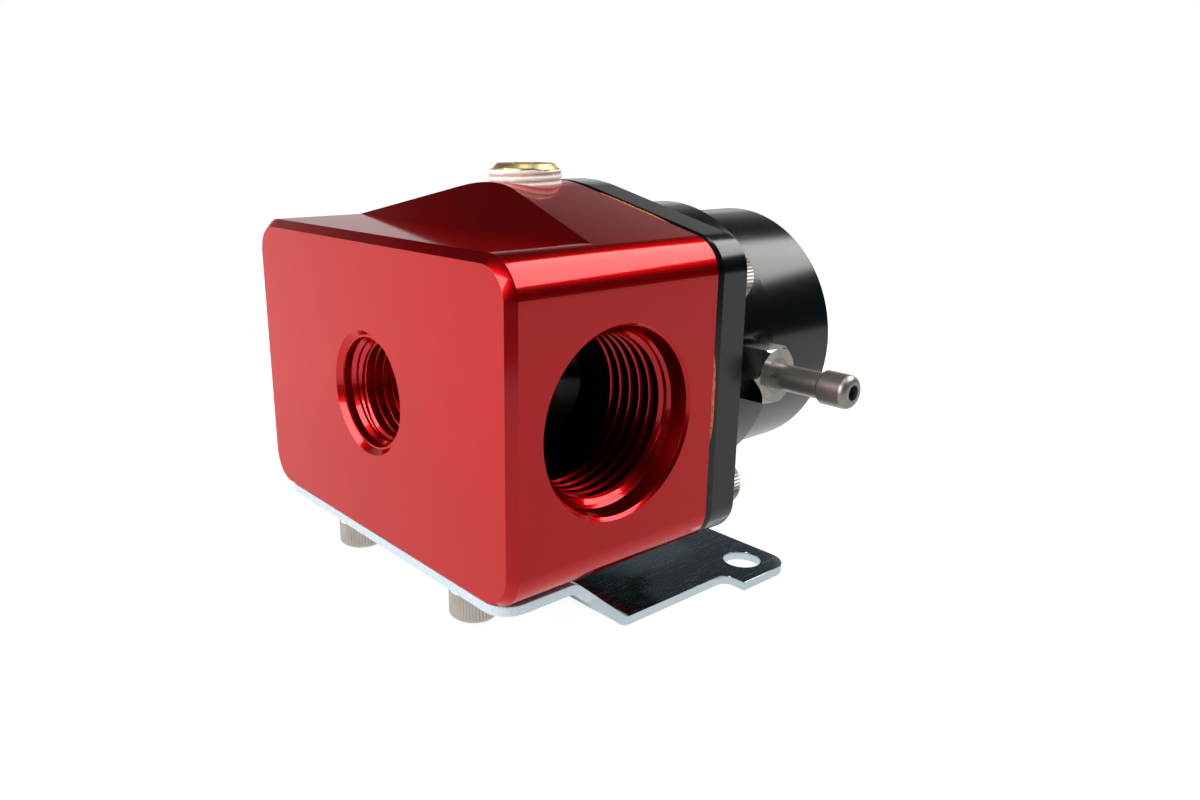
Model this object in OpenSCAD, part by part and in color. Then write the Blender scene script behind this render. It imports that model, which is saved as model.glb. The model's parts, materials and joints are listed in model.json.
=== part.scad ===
// Fuel pressure regulator, bypass type: two inlet ports, a front return port, a gauge port,
// a diaphragm under an adjustable spring, a boost nipple and a joggled steel bracket.
// X runs across the inlets, Y backwards along the regulator axis, Z up.
// The origin is midway between the bracket's two mounting holes, on the underside of its foot.

/* [Body] */
// Width across the two inlet faces
body_w = 63.5; // [58:0.5:76]
// Height below the hump
body_h = 42.3; // [40:0.1:48]
// Depth from the front face to the diaphragm
body_d = 33.5; // [32:0.1:42]
// Radius of the four long edges
corner_r = 5.2; // [3.5:0.1:6]
// Chamfer round the front face
front_chamfer = 1.1; // [0.4:0.1:1.6]
// Height of the regulator axis above the underside
axis_h = 20.9; // [20:0.1:23]
// Radius of the hump's crest about the regulator axis
crest_r = 27.2; // [26:0.1:30]
// Distance from the front face to the lower edge of the sloped facet
facet_y = 15.6; // [12:0.1:18]
// Slope of the facet in degrees
facet_angle = 45; // [40:1:60]
// Radius of the fuel chamber
chamber_r = 13; // [12:0.1:14]

/* [Ports] */
// Thread diameter of the inlet ports
inlet_thread_d = 22.22; // [18:0.01:22.6]
// Seal seat diameter of the inlet ports
inlet_seat_d = 23.9; // [23:0.1:24.3]
// Rim chamfer diameter of the inlet ports
inlet_rim_d = 24.7; // [24.4:0.1:26]
// Depth of the inlet thread from the side face
inlet_depth = 14.5; // [12:0.1:16]
// Distance of the inlet axis from the front face
inlet_y = 17; // [15:0.1:18]
// Thread diameter of the return port
return_thread_d = 14.28; // [12:0.01:15]
// Seal seat diameter of the return port
return_seat_d = 15.8; // [15.2:0.1:16.4]
// Rim chamfer diameter of the return port
return_rim_d = 17.2; // [16.6:0.1:18.4]
// Depth of the return thread from the front face
return_depth = 12; // [10:0.1:13]
// Depth of the seal seats below the faces
seal_seat_depth = 2.6; // [2:0.1:3.2]
// Taper of the seal seats in degrees
seal_seat_angle = 12; // [8:1:15]
// Thread diameter of the gauge port
gauge_d = 10.2; // [8:0.1:10.4]
// Distance of the gauge port from the back face
gauge_back = 5.9; // [5.6:0.1:7]
// Depth of the gauge port below the crest
gauge_depth = 10; // [8:0.1:12]

/* [Cover] */
// Thickness of the diaphragm
diaphragm_t = 0.6; // [0.4:0.1:1]
// Thickness of the cover flange
flange_t = 5.2; // [4.5:0.1:7]
// Chamfer on the front edge of the flange
flange_chamfer = 0.6; // [0.3:0.1:1]
// Radius of the wide barrel behind the flange
barrel_r = 22.95; // [21.8:0.05:23.2]
// Length of the wide barrel
barrel_len = 19.15; // [17.5:0.05:24]
// Radius of the narrow barrel at the rear
bonnet_r = 20.95; // [19:0.05:21.4]
// Length of the narrow barrel
bonnet_len = 17.55; // [14.5:0.05:22]
// Chamfer on the rear edge of the cover
rear_chamfer = 0.4; // [0.3:0.1:1.5]
// Radius of the spring chamber
spring_chamber_r = 15; // [14.2:0.1:16]
// Thickness of the cover's rear wall
rear_wall = 9; // [7:0.1:11]

/* [Screws] */
// Thread diameter of the socket screws
screw_d = 4.16; // [3.5:0.01:4.4]
// Head diameter of the socket screws
screw_head_d = 6.86; // [6:0.01:7.2]
// Head height of the socket screws
screw_head_h = 4.17; // [3.5:0.01:4.5]
// Distance across the flats of their sockets
screw_socket = 3.57; // [3:0.01:4]
// Distance of the cover screws from the sides of the flange
cover_screw_edge = 5.2; // [5:0.1:6.2]
// Spacing of the cover screws up and down
cover_screw_h = 29.86; // [29:0.02:30.6]
// Length of thread in the body
screw_bite = 9; // [6:0.1:10]

/* [Valve] */
// Bore of the return seat
seat_bore_d = 5; // [4:0.1:6]
// Height of the seat above the chamber floor
seat_rise = 6; // [5:0.1:8]
// Thickness of the wall between the chamber and the return port
web_t = 3; // [2.6:0.1:4]
// Thickness of the valve disc
disc_t = 1.6; // [1.2:0.1:2]
// Radius of the diaphragm plate on the fuel side
fuel_plate_r = 10.5; // [9:0.1:11.5]
// Radius of the diaphragm plate on the spring side
spring_plate_r = 13.2; // [12.9:0.1:13.6]
// Thread diameter of the diaphragm stud
stud_d = 4; // [3:0.1:5]

/* [Spring and adjuster] */
// Mean radius of the spring
spring_r = 11; // [10:0.1:11.2]
// Wire diameter of the spring
wire_d = 2.6; // [2:0.1:2.8]
// Number of coils
coils = 5; // [4:0.5:5.5]
// Thread diameter of the adjusting screw
adjuster_d = 7.94; // [6:0.01:9.5]
// Length of the adjusting screw
adjuster_len = 26; // [24:0.5:28]
// Length of the adjusting screw outside the cover
adjuster_out = 13; // [11.5:0.5:15]
// Distance across the flats of the jam nut
jam_nut_af = 12.7; // [12:0.1:16]
// Thickness of the jam nut
jam_nut_t = 4.8; // [4:0.1:6]
// Diameter of the thrust ball
ball_d = 6.35; // [5:0.05:7]

/* [Plug and nipple] */
// Height of the gauge plug above the crest
plug_rise = 2.5; // [1.5:0.1:4]
// Thickness of the sealing tape on the plug thread
tape_t = 0.25; // [0.1:0.05:0.4]
// Distance of the boost nipple behind the flange
nipple_y = 11.7; // [8:0.1:13]
// Distance across the flats of the nipple's hexagon
nipple_af = 7.94; // [7:0.01:9]
// Height of the nipple's hexagon
nipple_hex_h = 6.6; // [4:0.1:7]
// Diameter of the nipple's stem
nipple_stem_d = 3.8; // [3:0.1:4.2]
// Length of the nipple's stem
nipple_stem_len = 7.7; // [5:0.1:10]
// Diameter of the nipple's bead
nipple_bead_d = 4.8; // [4.4:0.1:6]
// Length of the nipple's bead
nipple_bead_len = 4.8; // [4:0.1:8]
// Bore of the nipple
nipple_bore_d = 2.2; // [1.5:0.1:2.6]

/* [Bracket] */
// Thickness of the sheet
sheet_t = 1.38; // [1:0.02:2]
// Width of the plate
plate_w = 58.1; // [54:0.1:62]
// Set-back of the plate's front edge from the front face
plate_inset = 0.5; // [0:0.1:2]
// Radius of the plate's front corners
plate_corner_r = 3.6; // [2:0.1:6]
// Distance from the front face to the first bend
joggle_y = 12.6; // [11:0.1:15]
// Length of the slope between the two bends, along Y
joggle_run = 9.1; // [8:0.1:12]
// Drop of the foot below the plate
foot_drop = 7.85; // [7.4:0.05:10]
// Inside radius of the bends
bend_r = 1.5; // [0.8:0.1:2]
// Distance from the front face to the rear edge of the foot
foot_end = 52.97; // [52:0.01:58]
// Width across the two ears
ear_w = 65.3; // [63:0.1:72]
// Length of the ears along Y
ear_len = 11; // [9:0.1:14]
// Radius of the ears' rear corners
ear_corner_r = 3.4; // [2:0.1:5]
// Fillet between the foot and the ears
ear_fillet_r = 1.5; // [0.5:0.1:2]
// Diameter of the mounting holes
mount_hole_d = 5.5; // [4.5:0.1:6]
// Spacing of the mounting holes
mount_w = 54.8; // [52:0.1:56]
// Distance of the mounting holes from the rear edge
mount_edge = 5.12; // [4.5:0.02:6]
// Spacing of the bracket screws
bracket_screw_w = 30.48; // [26:0.02:36]
// Distance of the bracket screws from the front face
bracket_screw_y = 6.35; // [5.5:0.05:7]
// Thickness of the flat washers
washer_t = 1; // [0.6:0.05:1.2]
// Thickness of the spring lock washers
lock_washer_t = 1.15; // [0.8:0.05:1.3]

/* [Hidden] */
// Radial gap of a thread or a running fit
fit_gap = 0.05;
// Radial gap of a screw in a plain hole
pass_gap = 0.22;
// Gap that keeps a ball or a coil clear of its seat
seat_gap = 0.05;
// Overrun of a cut past the face that it starts from
over = 0.5;
// Chamfer at the start of a thread and on the edges of small turned pieces
thread_chamfer = 0.4;
// Depth of a tapped hole past the end of its screw
drill_extra = 1;

// Places along the regulator axis, from the front face backwards
gauge_y = body_d - gauge_back;
chamber_floor = return_depth + web_t;
seat_face = chamber_floor + seat_rise;
cover_y = body_d + diaphragm_t;
flange_y = cover_y + flange_t;
barrel_end = flange_y + barrel_len;
rear_y = barrel_end + bonnet_len;
spring_chamber_end = rear_y - rear_wall;
adjuster_front = rear_y + adjuster_out - adjuster_len;

// Outline of the hump: direction of its shoulders and the points where they meet the arcs
corner_x = body_w / 2 - corner_r;
corner_top = [corner_x, body_h - corner_r];
crest_to_corner = corner_top - [0, axis_h];
shoulder_turn = acos((crest_r - corner_r) / norm(crest_to_corner));
shoulder_angle = atan2(crest_to_corner.y, crest_to_corner.x) + shoulder_turn;
shoulder_normal = [cos(shoulder_angle), sin(shoulder_angle)];
crest_top = axis_h + crest_r;
flange_skin = 0.02;

// Passages that lead from the inlets and the gauge port to the fuel chamber
inlet_thread_h = 1;
inlet_passage_r = inlet_thread_d / 2 - inlet_thread_h;
inlet_passage_reach = 2;
gauge_passage_r = 3;

// Gauge plug and its sealing tape
plug_r = gauge_d / 2 - fit_gap;
plug_chamfer = 1;
plug_lead = 0.6;
plug_room = 1;
plug_len = gauge_depth - plug_room + plug_rise;
plug_socket = 4.76;
tape_inner_r = plug_r + fit_gap;
tape_r = tape_inner_r + tape_t;
tape_sink = 0.9;
tape_lip = 0.1;
tape_rise = plug_rise - plug_chamfer + tape_lip;

// Return seat
seat_thread_r = 4.5;
seat_flange_r = 6.5;
seat_flange_t = 2;
seat_nozzle_r = 3.5;
o_ring_wire_r = 0.75;
o_ring_r = seat_thread_r + fit_gap + o_ring_wire_r;
o_ring_groove = 2 * o_ring_wire_r + 2 * fit_gap;

// Diaphragm stack
cup_r = 4.7;
cup_depth = 2.8;
cup_taper = 0.8;
disc_r = 3.9;
disc_proud = 0.4;
stem_r = 3;
fuel_plate_t = 1.5;
spring_plate_t = 1.6;
spring_plate_lip = 1.8;
lip_t = 0.5;
stud_washer_t = 0.8;
stud_washer_r = 4.2;
stud_nut_t = 3.2;
stud_nut_af = 7;
stud_tail = 1;
spring_plate_back = cover_y + spring_plate_t;
stud_washer_y = spring_plate_back;
stud_nut_y = stud_washer_y + stud_washer_t;
stud_end = stud_nut_y + stud_nut_t + stud_tail;

// Spring seat and ball
ball_r = ball_d / 2;
ball_y = adjuster_front - seat_gap - ball_r;
dimple = 1.5;
spring_seat_back = ball_y - ball_r - seat_gap + dimple;
spring_seat_t = 3.2;
spring_seat_front = spring_seat_back - spring_seat_t;
spring_seat_margin = 0.9;
spring_seat_r = spring_r + wire_d / 2 + spring_seat_margin;
pilot_gap = 0.4;
pilot_r = spring_r - wire_d / 2 - pilot_gap;
pilot_len = 1.8;
coil_start = spring_plate_back + seat_gap + wire_d / 2;
coil_end = spring_seat_front - seat_gap - wire_d / 2;
coil_steps = 18;
wire_sides = 10;

// Adjuster, nut and seal
adjuster_r = adjuster_d / 2;
adjuster_socket = 3.97;
adjuster_socket_depth = 5;
adjuster_chamfer = 0.8;
seal_washer_t = 1.2;
seal_washer_margin = 0.6;
seal_washer_r = jam_nut_af / 2 + seal_washer_margin;

// Boost nipple, along X from the wide barrel
nipple_pos_y = flange_y + nipple_y;
nipple_thread_r = 2.4;
nipple_spot_depth = 0.45;
nipple_spot_margin = 0.4;
nipple_thread_inset = 0.5;
nipple_spot_x = barrel_r - nipple_spot_depth;
nipple_spot_r = nipple_af / sqrt(3) + nipple_spot_margin;
nipple_inner_x = spring_chamber_r + nipple_thread_inset;
nipple_hex_end = nipple_spot_x + nipple_hex_h;
nipple_bead_x = nipple_hex_end + nipple_stem_len;
nipple_end_x = nipple_bead_x + nipple_bead_len;
nipple_end_r = 1;
nipple_end_steps = 6;
nipple_step = (nipple_bead_d - nipple_stem_d) / 2;

// Bracket and its frame
joggle_angle = atan2(foot_drop, joggle_run);
bend_steps = 8;
ear_y = foot_end - ear_len;
mount_y = foot_end - mount_edge;
mount_z = foot_drop + sheet_t;
washer_margin = 0.5;
washer_r = screw_head_d / 2 + washer_margin;
lock_slot = 0.8;

// Holes and ends of the socket screws
tapped_r = screw_d / 2 + fit_gap;
passing_r = screw_d / 2 + pass_gap;
screw_chamfer = 0.5;
head_edge = 0.15;
cover_screw_w = body_w - 2 * cover_screw_edge;

$fn = 64;

// Moves the regulator, drawn from its front face and underside, to the bracket's mounting frame
module placed() {
    translate([0, -mount_y, mount_z]) children();
}

// Extrudes an outline drawn in X and Z backwards from y0 to y1
module section(y0, y1) {
    translate([0, y1, 0]) rotate([90, 0, 0]) linear_extrude(y1 - y0) children();
}

// Extrudes an outline drawn in Y and Z across X, the same to each side
module across(w) {
    translate([-w / 2, 0, 0]) rotate([90, 0, 90]) linear_extrude(w) children();
}

// Turns a profile of radius and length about the regulator axis, starting at y
module turned(y, profile) {
    translate([0, y, axis_h]) rotate([-90, 0, 0]) rotate_extrude() polygon(profile);
}

// Solid of revolution with two chamfered ends, for pins, heads and rods
function rod(r, len, c0, c1) = [[0, 0], [r - c0, 0], [r, c0], [r, len - c1], [r - c1, len], [0, len]];

// Points of an arc about a centre
function arc(centre, r, a0, a1, steps) = [
    for (i = [0 : steps]) let (a = a0 + (a1 - a0) * i / steps) centre + r * [cos(a), sin(a)]
];

// Height of the corners of a hexagon above its flats
function corner_rise(af) = af * (1 / sqrt(3) - 1 / 2);

// Hexagonal bar along Z with its corners turned off at the chosen ends
module hexagon(af, len, c0, c1) {
    r = af / sqrt(3);
    intersection() {
        cylinder(r = r, h = len, $fn = 6);
        rotate_extrude() polygon(rod(r, len, c0, c1));
    }
}

// Outline of the body's back, the diaphragm and the flange
module back_outline() {
    shoulder = corner_top + corner_r * shoulder_normal;
    crest = [0, axis_h] + crest_r * shoulder_normal;
    past_crest = [0, axis_h] + 2 * crest_r * shoulder_normal;
    polygon([
        [-corner_x, 0], [corner_x, 0], [corner_x, corner_r], corner_top, shoulder, crest,
        [-crest.x, crest.y], [-shoulder.x, shoulder.y], [-corner_x, corner_top.y], [-corner_x, corner_r]
    ]);
    translate([-body_w / 2, corner_r]) square([body_w, body_h - 2 * corner_r]);
    for (x = [-corner_x, corner_x], z = [corner_r, corner_top.y]) translate([x, z]) circle(corner_r);
    intersection() {
        translate([0, axis_h]) circle(crest_r);
        polygon([[0, axis_h], past_crest, [-past_crest.x, past_crest.y]]);
    }
}

// Front of the body: a block with rounded long edges and a chamfer round its face
module front_block() {
    c = front_chamfer;
    w = body_w / 2;
    translate([0, 0, corner_r]) linear_extrude(body_h - 2 * corner_r)
        polygon([[c - w, 0], [w - c, 0], [w, c], [w, facet_y], [-w, facet_y], [-w, c]]);
    across(2 * corner_x)
        polygon([[0, c], [0, body_h - c], [c, body_h], [facet_y, body_h], [facet_y, 0], [c, 0]]);
    for (x = [-corner_x, corner_x], z = [corner_r, corner_top.y])
        translate([x, 0, z]) rotate([-90, 0, 0]) rotate_extrude() polygon(rod(corner_r, facet_y, c, 0));
}

// Back of the body with its hump, cut by the sloped facet
module back_block() {
    rise = crest_top - body_h + over;
    run = rise / tan(facet_angle);
    difference() {
        section(facet_y, body_d) back_outline();
        across(2 * body_w)
            polygon([
                [facet_y - over, body_h], [facet_y, body_h],
                [facet_y + run, body_h + rise], [facet_y - over, body_h + rise]
            ]);
    }
}

// Threaded port cut along Z, from its mouth inwards: rim chamfer, tapered seal seat and lead-in
module port(thread_d, seat_d, rim_d, depth) {
    r = thread_d / 2;
    rim = (rim_d - seat_d) / 2;
    taper = (seal_seat_depth - rim) * tan(seal_seat_angle);
    lead = max(seat_d / 2 - taper - r, fit_gap);
    rotate_extrude() polygon([
        [0, -over], [rim_d / 2 + over, -over], [seat_d / 2, rim], [r + lead, seal_seat_depth],
        [r, seal_seat_depth + lead], [r, depth], [0, depth]
    ]);
}

// Positions of the four cover screws, on the body's back face
module at_cover_screws(y) {
    for (x = [-1, 1] * cover_screw_w / 2, z = [-1, 1] * cover_screw_h / 2)
        translate([x, y, axis_h + z]) rotate([-90, 0, 0]) children();
}

// Positions of the two bracket screws, with Z running up into the body
module at_bracket_screws(z) {
    for (x = [-1, 1] * bracket_screw_w / 2) translate([x, bracket_screw_y, z]) children();
}

// Socket screw with its head below z = 0 and its shank along +Z
module socket_screw(shank) {
    difference() {
        union() {
            translate([0, 0, -screw_head_h])
                rotate_extrude() polygon(rod(screw_head_d / 2, screw_head_h, screw_chamfer, head_edge));
            rotate_extrude() polygon(rod(screw_d / 2, shank, 0, screw_chamfer));
        }
        translate([0, 0, -screw_head_h - over])
            cylinder(r = screw_socket / sqrt(3), h = screw_head_h / 2 + over, $fn = 6);
    }
}

module body() {
    passage_len = body_w / 2 - chamber_r + inlet_passage_reach;
    groove_r = o_ring_r + o_ring_wire_r + fit_gap;
    tapped_depth = screw_bite + drill_extra;
    color([0.70, 0.09, 0.12]) placed() difference() {
        union() {
            front_block();
            back_block();
        }
        for (side = [-1, 1]) translate([side * body_w / 2, inlet_y, axis_h]) rotate([0, -side * 90, 0]) {
            port(inlet_thread_d, inlet_seat_d, inlet_rim_d, inlet_depth);
            cylinder(r = inlet_passage_r, h = passage_len);
        }
        translate([0, 0, axis_h]) rotate([-90, 0, 0])
            port(return_thread_d, return_seat_d, return_rim_d, return_depth);
        turned(return_depth - over, rod(seat_thread_r + fit_gap, web_t + 2 * over, 0, 0));
        turned(chamber_floor - o_ring_groove, rod(groove_r, o_ring_groove + over, 0, 0));
        turned(chamber_floor, rod(chamber_r, body_d - chamber_floor + over, 0, 0));
        at_cover_screws(body_d - tapped_depth) cylinder(r = tapped_r, h = tapped_depth + over);
        at_bracket_screws(-over) cylinder(r = tapped_r, h = tapped_depth + over);
        translate([0, gauge_y, crest_top]) {
            translate([0, 0, -gauge_depth]) cylinder(r = gauge_d / 2, h = gauge_depth + over);
            translate([0, 0, -tape_sink]) cylinder(r = tape_r + fit_gap, h = tape_sink + over);
            translate([0, 0, -crest_r]) cylinder(r = gauge_passage_r, h = crest_r - gauge_depth + over);
        }
    }
}

module valve_seat() {
    bore = seat_bore_d / 2;
    flange_end = web_t + seat_flange_t;
    nozzle_end = web_t + seat_rise;
    color([0.80, 0.66, 0.30]) placed() turned(return_depth, [
        [bore, 0], [seat_thread_r - thread_chamfer, 0], [seat_thread_r, thread_chamfer],
        [seat_thread_r, web_t], [seat_flange_r, web_t], [seat_flange_r, flange_end],
        [seat_thread_r, flange_end], [seat_nozzle_r, nozzle_end], [bore, nozzle_end]
    ]);
}

module seat_o_ring() {
    color([0.08, 0.08, 0.08]) placed() translate([0, chamber_floor - o_ring_wire_r - fit_gap, axis_h])
        rotate([-90, 0, 0]) rotate_extrude() translate([o_ring_r, 0]) circle(o_ring_wire_r, $fn = 24);
}

module valve_disc() {
    color([0.12, 0.12, 0.12]) placed() turned(seat_face, rod(disc_r, disc_t, 0, 0));
}

module diaphragm_stud() {
    cup_front = seat_face + disc_proud;
    recess = disc_t - disc_proud;
    stem_len = body_d - fuel_plate_t - cup_front;
    len = stud_end - cup_front;
    r = stud_d / 2;
    color([0.72, 0.72, 0.70]) placed() turned(cup_front, [
        [0, recess], [disc_r + fit_gap, recess], [disc_r + fit_gap, 0], [cup_r, 0], [cup_r, cup_depth],
        [stem_r, cup_depth + cup_taper], [stem_r, stem_len], [r, stem_len], [r, len], [0, len]
    ]);
}

// Flat ring on the regulator axis
module ring(y, inner_r, outer_r, t) {
    turned(y, [[inner_r, 0], [outer_r, 0], [outer_r, t], [inner_r, t]]);
}

module diaphragm_fuel_plate() {
    color([0.75, 0.75, 0.72]) placed()
        ring(body_d - fuel_plate_t, stud_d / 2 + fit_gap, fuel_plate_r, fuel_plate_t);
}

module diaphragm() {
    color([0.85, 0.36, 0.10]) placed() difference() {
        section(body_d, cover_y) back_outline();
        turned(body_d - over, rod(stud_d / 2 + fit_gap, diaphragm_t + 2 * over, 0, 0));
        at_cover_screws(body_d - over) cylinder(r = passing_r, h = diaphragm_t + 2 * over);
    }
}

module diaphragm_spring_plate() {
    inner = stud_d / 2 + fit_gap;
    t = spring_plate_t;
    color([0.75, 0.75, 0.72]) placed() turned(cover_y, [
        [inner, 0], [spring_plate_r, 0], [spring_plate_r, t + spring_plate_lip],
        [spring_plate_r - lip_t, t + spring_plate_lip], [spring_plate_r - lip_t, t], [inner, t]
    ]);
}

module diaphragm_washer() {
    color([0.70, 0.70, 0.68]) placed()
        ring(stud_washer_y, stud_d / 2 + fit_gap, stud_washer_r, stud_washer_t);
}

// Hexagonal nut on the regulator axis
module axis_nut(y, af, t, bore_r) {
    chamfer = corner_rise(af) / 2;
    translate([0, y, axis_h]) rotate([-90, 0, 0]) difference() {
        hexagon(af, t, chamfer, chamfer);
        translate([0, 0, -over]) cylinder(r = bore_r, h = t + 2 * over);
    }
}

module diaphragm_nut() {
    color([0.70, 0.70, 0.68]) placed()
        axis_nut(stud_nut_y, stud_nut_af, stud_nut_t, stud_d / 2 + fit_gap);
}

// Centre line of the spring: closed at both ends and open between them
function coil_share(t) = t < 1 ? t * wire_d
    : t > coils - 1 ? coil_end - coil_start - (coils - t) * wire_d
    : wire_d + (t - 1) * (coil_end - coil_start - 2 * wire_d) / (coils - 2);
function coil_ring(t) = [
    for (k = [0 : wire_sides - 1])
        let (a = 360 * k / wire_sides, r = spring_r + wire_d / 2 * cos(a), turn = 360 * t)
        [r * cos(turn), coil_start + coil_share(t) + wire_d / 2 * sin(a), axis_h + r * sin(turn)]
];

module regulator_spring() {
    rings = coils * coil_steps;
    points = [for (i = [0 : rings]) each coil_ring(i / coil_steps)];
    sides = [
        for (i = [0 : rings - 1], k = [0 : wire_sides - 1])
            let (a = i * wire_sides, n = (k + 1) % wire_sides)
            [a + k, a + n, a + wire_sides + n, a + wire_sides + k]
    ];
    first = [for (k = [0 : wire_sides - 1]) wire_sides - 1 - k];
    last = [for (k = [0 : wire_sides - 1]) rings * wire_sides + k];
    color([0.45, 0.46, 0.48]) placed() polyhedron(points, concat(sides, [first, last]));
}

module spring_seat() {
    color([0.72, 0.72, 0.70]) placed() difference() {
        union() {
            turned(spring_seat_front, rod(spring_seat_r, spring_seat_t, 0, thread_chamfer));
            turned(spring_seat_front - pilot_len, rod(pilot_r, pilot_len, thread_chamfer, 0));
        }
        translate([0, ball_y, axis_h]) sphere(ball_r + seat_gap);
    }
}

module thrust_ball() {
    color([0.80, 0.80, 0.80]) placed() translate([0, ball_y, axis_h]) sphere(ball_r);
}

module adjusting_screw() {
    color([0.20, 0.20, 0.21]) placed() difference() {
        turned(adjuster_front, rod(adjuster_r, adjuster_len, adjuster_chamfer, adjuster_chamfer));
        translate([0, adjuster_front + adjuster_len + over, axis_h]) rotate([90, 0, 0])
            cylinder(r = adjuster_socket / sqrt(3), h = adjuster_socket_depth + over, $fn = 6);
    }
}

module jam_nut() {
    color([0.72, 0.71, 0.68]) placed()
        axis_nut(rear_y + seal_washer_t, jam_nut_af, jam_nut_t, adjuster_r + fit_gap);
}

module jam_nut_seal_washer() {
    color([0.60, 0.60, 0.60]) placed() ring(rear_y, adjuster_r + fit_gap, seal_washer_r, seal_washer_t);
}

// Flange of the back outline with a chamfer on its front edge
module flange() {
    hull() {
        section(cover_y, cover_y + flange_skin) offset(delta = -flange_chamfer) back_outline();
        section(cover_y + flange_chamfer, flange_y) back_outline();
    }
}

module cover() {
    edge = 0.25;
    color([0.05, 0.05, 0.055]) placed() difference() {
        union() {
            flange();
            intersection() {
                turned(flange_y - over, rod(barrel_r, barrel_len + over, 0, edge));
                translate([-barrel_r - over, cover_y, 0])
                    cube([2 * barrel_r + 2 * over, barrel_end - cover_y + over, axis_h + barrel_r + over]);
            }
            turned(barrel_end - over, rod(bonnet_r, bonnet_len + over, 0, rear_chamfer));
        }
        turned(cover_y - over, rod(spring_chamber_r, spring_chamber_end - cover_y + over, 0, 0));
        turned(spring_chamber_end - over, rod(adjuster_r + fit_gap, rear_wall + 2 * over, 0, 0));
        at_cover_screws(cover_y - over) cylinder(r = passing_r, h = flange_t + 2 * over);
        translate([0, nipple_pos_y, axis_h]) rotate([0, 90, 0]) {
            cylinder(r = nipple_thread_r + fit_gap, h = barrel_r);
            translate([0, 0, nipple_spot_x]) cylinder(r = nipple_spot_r, h = barrel_r);
        }
    }
}

module cover_screws() {
    shank = flange_t + diaphragm_t + screw_bite;
    color([0.78, 0.76, 0.72]) placed() at_cover_screws(flange_y) rotate([180, 0, 0]) socket_screw(shank);
}

module gauge_port_plug() {
    color([0.83, 0.66, 0.25]) placed() difference() {
        translate([0, gauge_y, crest_top + plug_rise - plug_len])
            rotate_extrude() polygon(rod(plug_r, plug_len, plug_lead, plug_chamfer));
        translate([0, gauge_y, crest_top + plug_rise - plug_socket / 2])
            cylinder(r = plug_socket / sqrt(3), h = plug_socket, $fn = 6);
    }
}

module plug_thread_tape() {
    color([0.93, 0.92, 0.90]) placed() translate([0, gauge_y, crest_top - tape_sink])
        rotate_extrude() translate([tape_inner_r, 0]) square([tape_t, tape_sink + tape_rise]);
}

module vacuum_nipple() {
    bead = nipple_bead_d / 2;
    stem = nipple_stem_d / 2;
    len = nipple_end_x - nipple_hex_end;
    thread_len = nipple_spot_x - nipple_inner_x;
    end_centre = [bead, len] - nipple_end_r * [1, 1];
    color([0.76, 0.74, 0.70]) placed() translate([0, nipple_pos_y, axis_h]) rotate([0, 90, 0]) difference() {
        union() {
            translate([0, 0, nipple_inner_x])
                rotate_extrude() polygon(rod(nipple_thread_r, thread_len, thread_chamfer, 0));
            translate([0, 0, nipple_spot_x]) rotate([0, 0, 90])
                hexagon(nipple_af, nipple_hex_h, 0, corner_rise(nipple_af));
            translate([0, 0, nipple_hex_end])
                rotate_extrude() polygon(concat(
                    [[0, 0], [stem, 0], [stem, nipple_stem_len], [bead, nipple_stem_len + nipple_step]],
                    arc(end_centre, nipple_end_r, 0, 90, nipple_end_steps), [[0, len]]
                ));
        }
        translate([0, 0, nipple_inner_x - over])
            cylinder(d = nipple_bore_d, h = nipple_end_x - nipple_inner_x + 2 * over);
    }
}

// Inner or outer line of a bend in the sheet
function bend(centre, r, a0, a1) = arc(centre, r, a0, a1, bend_steps);

// Edge of the sheet seen from the side: plate, two bends and foot
module bracket_side() {
    outer = bend_r + sheet_t;
    lead = outer * tan(joggle_angle / 2);
    upper = [joggle_y - lead, -outer];
    lower = [joggle_y + joggle_run + bend_r * tan(joggle_angle / 2), bend_r - foot_drop];
    polygon(concat(
        [[plate_inset, 0]], bend(upper, outer, 90, 90 - joggle_angle),
        bend(lower, bend_r, 270 - joggle_angle, 270), [[foot_end, -foot_drop], [foot_end, -mount_z]],
        bend(lower, outer, 270, 270 - joggle_angle),
        bend(upper, bend_r, 90 - joggle_angle, 90), [[plate_inset, -sheet_t]]
    ));
}

// Plan of the bracket: rounded plate, foot and the two ears
module bracket_plan() {
    r = plate_corner_r;
    w = plate_w / 2;
    e = ear_w / 2;
    f = min(ear_fillet_r, e - w);
    translate([-w, plate_inset + r]) square([plate_w, foot_end - plate_inset - r]);
    translate([r - w, plate_inset]) square([plate_w - 2 * r, r]);
    translate([-e, ear_y]) square([ear_w, ear_len - ear_corner_r]);
    translate([ear_corner_r - e, ear_y]) square([ear_w - 2 * ear_corner_r, ear_len]);
    for (side = [-1, 1]) {
        translate([side * (w - r), plate_inset + r]) circle(r);
        translate([side * (e - ear_corner_r), foot_end - ear_corner_r]) circle(ear_corner_r);
        difference() {
            translate([side * (w + f / 2) - f / 2, ear_y - f]) square([f, f]);
            translate([side * (w + f), ear_y - f]) circle(f);
        }
    }
}

module bracket() {
    color([0.72, 0.77, 0.80]) placed() difference() {
        intersection() {
            across(ear_w + 2 * over) bracket_side();
            translate([0, 0, -mount_z - over]) linear_extrude(mount_z + 2 * over) bracket_plan();
        }
        for (x = [-1, 1] * mount_w / 2) translate([x, mount_y, -mount_z - over])
            cylinder(d = mount_hole_d, h = sheet_t + 2 * over);
        at_bracket_screws(-sheet_t - over) cylinder(r = passing_r, h = sheet_t + 2 * over);
    }
}

module bracket_screws() {
    stack = sheet_t + washer_t + lock_washer_t;
    color([0.78, 0.76, 0.72]) placed() at_bracket_screws(-stack) socket_screw(stack + screw_bite);
}

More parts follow.
